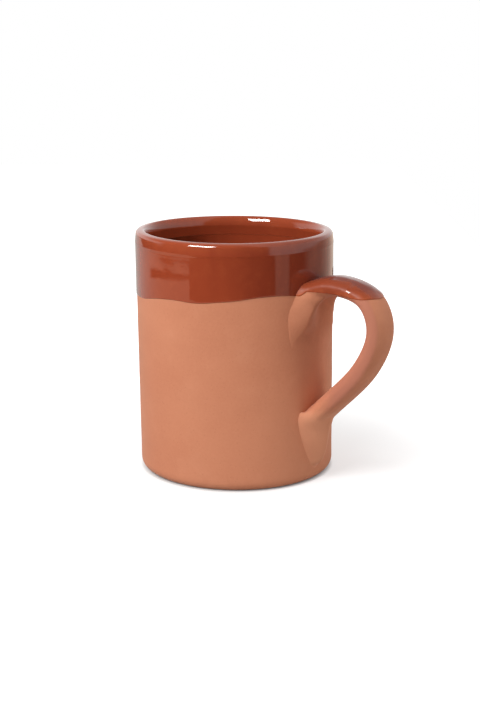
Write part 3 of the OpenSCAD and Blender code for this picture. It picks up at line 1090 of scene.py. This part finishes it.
class SetStage(Operator):
    """Sets the pale table, the soft lights, the room and the camera"""

    bl_idname = "clay_mug.set_stage"
    bl_label = "Set the Stage"

    def execute(self, context):
        stage = settings("stage")
        self.lay_table(stage)
        for name, place, size, power in (
            ("key light", KEY_PLACE, KEY_SIZE, stage.key_power),
            ("side light", SIDE_PLACE, SIDE_SIZE, stage.side_power),
            ("rim light", RIM_PLACE, SIDE_SIZE, stage.rim_power),
        ):
            panel_light(name, place, size, power).visible_glossy = False
        glint = panel_light("glint", GLINT_PLACE, GLINT_SIZE, stage.glint_power)
        glint.visible_diffuse = False
        self.make_room(stage.room)
        bpy.ops.object.camera_add(
            location=CAMERA_PLACE, rotation=(math.pi / 2 - CAMERA_DIP, 0, HORIZON)
        )
        camera = named("camera")
        camera.data.lens = LENS_LENGTH
        camera.data.sensor_width = SENSOR_WIDTH
        camera.data.clip_start = 0.01
        context.scene.camera = camera
        context.scene.view_settings.view_transform = "Standard"
        return {"FINISHED"}

    def lay_table(self, stage):
        """A plane cut in four, its nine corners laid out as the lens sees them."""
        deselect()
        bpy.ops.mesh.primitive_plane_add(size=1, location=(0, 0, 0))
        table = named("table")
        edit(table)
        bpy.ops.mesh.subdivide(number_cuts=1)
        close()
        spread = points(table)
        column, row = np.round(2 * spread[:, :2].T).astype(int) + 1
        left, front = -stage.table_left, -stage.table_front
        turn_in = front * TABLE_INSET
        x = np.choose(column, (left, turn_in, stage.table_right))
        y = np.choose(row, (front, 0, TABLE_BACK))
        y = np.where(column + row == 0, front + (left - turn_in) * TABLE_SLANT, y)
        along, across = LENS_RIGHT
        laid = [x * along - y * across, x * across + y * along, spread[:, 2]]
        place(table, np.stack(laid, axis=1))
        table.data.materials.append(self.table_surface())

    def table_surface(self):
        """White paper that glows white to the lens and still takes the mug's shadow, with a painted
        contact shadow and a glow dimmed near the mug; to the glaze it glows as a painted reflection.
        """
        shade = Shader(bpy.data.materials.new("white_table"))
        shade.tree.nodes.remove(shade.surface)

        def sector(start, stop, *values, **more):
            return shade.ranged(around, math.radians(start), math.radians(stop), *values, **more)

        path = shade.add("LightPath").outputs
        lens, glossy = path["Is Camera Ray"], path["Is Glossy Ray"]
        paper = shade.add("BsdfDiffuse", {"Color": shade.mixed(glossy, PAPER, (0, 0, 0))})
        away = shade.add("VectorMath", {0: shade.coordinates}, operation="LENGTH")
        away = away.outputs["Value"]
        around = shade.from_lens()[1]
        past = shade.maths("SUBTRACT", away, sector(-82, -62, 0.507, 0.482))
        strip = shade.times(shade.ranged(away, 0.444, 0.456), shade.ranged(past, -0.006, 0.006, 1, 0))
        strip = shade.times(strip, sector(-113, -105))
        warmth = shade.times(sector(-130, -90, smooth=False), sector(100, 130, 1, 0))
        mirrored = shade.mixed(strip, shade.mixed(warmth, COOL_PAPER, WARM_PAPER), STRIP)
        # Painted contact shadow: ambient occlusion darkens the paper's glow right at the foot
        painted_contact_shadow = shade.add("AmbientOcclusion", {"Distance": SHADOW_DEPTH}, samples=8)
        # Painted shade: the paper's glow is dimmer near the mug
        near = shade.ranged(away, 0.045, 0.15, 0.57, 1)
        bounced = shade.maths("MAXIMUM", glossy, path["Is Transmission Ray"])
        glow = shade.add("Emission", {
            "Color": shade.mixed(lens, mirrored, painted_contact_shadow.outputs["Color"]),
            "Strength": shade.times(near, shade.maths("MAXIMUM", lens, bounced)),
        })
        both = shade.add("AddShader", {0: paper.outputs[0], 1: glow.outputs[0]})
        shade.feed(shade.tree.nodes["Material Output"], {"Surface": both.outputs[0]})
        return shade.owner

    def make_room(self, strength):
        """A pale room behind the mug and a darker one in front of it; the lens sees plain white."""
        world = bpy.data.worlds.new("room")
        bpy.context.scene.world = world
        world.use_nodes = True
        world.node_tree.nodes.clear()
        shade = Shader(world, "Generated")
        axes, around = shade.from_lens()
        share = shade.ranged(around, -math.pi, math.pi, smooth=False)
        low, high, top = [
            self.ring_of_greys(shade, share, table) for table in (ROOM_LOW, ROOM_HIGH, ROOM_TOP)
        ]
        low = shade.mixed(1, low, LOW_TINT, "MULTIPLY")
        walls = shade.mixed(shade.ranged(axes["Z"], -0.02, 0.02), low, high)
        greys = shade.mixed(shade.ranged(axes["Z"], 0.3, 0.6), walls, top)
        wide = shade.ranged(axes["X"], -0.6, 0.7, 1.35, 0.55)
        soft, mirror, white = [
            shade.add("Background", sockets).outputs[0]
            for sockets in (
                {"Color": wide, "Strength": strength}, {"Color": greys}, {"Color": (1, 1, 1, 1)},
            )
        ]
        path = shade.add("LightPath").outputs
        seen = shade.add("MixShader", {0: path["Is Glossy Ray"], 1: soft, 2: mirror})
        seen = shade.add("MixShader", {0: path["Is Camera Ray"], 1: seen.outputs[0], 2: white})
        shade.add("OutputWorld", {"Surface": seen.outputs[0]})

    def ring_of_greys(self, shade, share, table):
        """Greys all round the mug, from a table of degrees and brightness."""
        node = shade.add("ValToRGB", {0: share})
        ramp = node.color_ramp
        behind = (table[0][1] + table[-1][1]) / 2
        ramp.elements[0].position, ramp.elements[1].position = 0, 1
        ramp.elements[0].color = ramp.elements[1].color = (behind, behind, behind, 1)
        for degrees, grey in table:
            ramp.elements.new(0.5 + degrees / 360).color = (grey, grey, grey, 1)
        return node.outputs["Color"]


class MugPanel(Panel):
    """Lists the mug's settings and the steps that make it"""

    bl_idname = "VIEW3D_PT_clay_mug"
    bl_label = "Clay Mug"
    bl_space_type = "VIEW_3D"
    bl_region_type = "UI"
    bl_category = "Clay Mug"

    def draw(self, context):
        layout = self.layout
        for name in GROUPS:
            group = settings(name)
            box = layout.box()
            box.label(text=name.capitalize())
            for key in group.__annotations__:
                box.prop(group, key)
        for step in STEPS:
            layout.operator(step.bl_idname)


GROUPS = {
    "cup": MugCupSettings,
    "handle": MugHandleSettings,
    "glaze": MugGlazeSettings,
    "finish": MugFinishSettings,
    "stage": MugStageSettings,
}
STEPS = (ThrowCup, GlazeInside, GlazeRim, PullHandle, FinishSlip, SetStage)
CLASSES = (*GROUPS.values(), *STEPS, MugPanel)


def register():
    for made in CLASSES:
        bpy.utils.register_class(made)
    for name, group in GROUPS.items():
        setattr(bpy.types.Scene, "clay_mug_" + name, PointerProperty(type=group))


def unregister():
    for name in GROUPS:
        delattr(bpy.types.Scene, "clay_mug_" + name)
    for made in reversed(CLASSES):
        bpy.utils.unregister_class(made)


def main():
    register()
    bpy.ops.clay_mug.throw_cup()
    bpy.ops.clay_mug.glaze_inside()
    bpy.ops.clay_mug.glaze_rim()
    bpy.ops.clay_mug.pull_handle()
    bpy.ops.clay_mug.finish_slip()
    bpy.ops.clay_mug.set_stage()


if __name__ == "__main__":
    main()
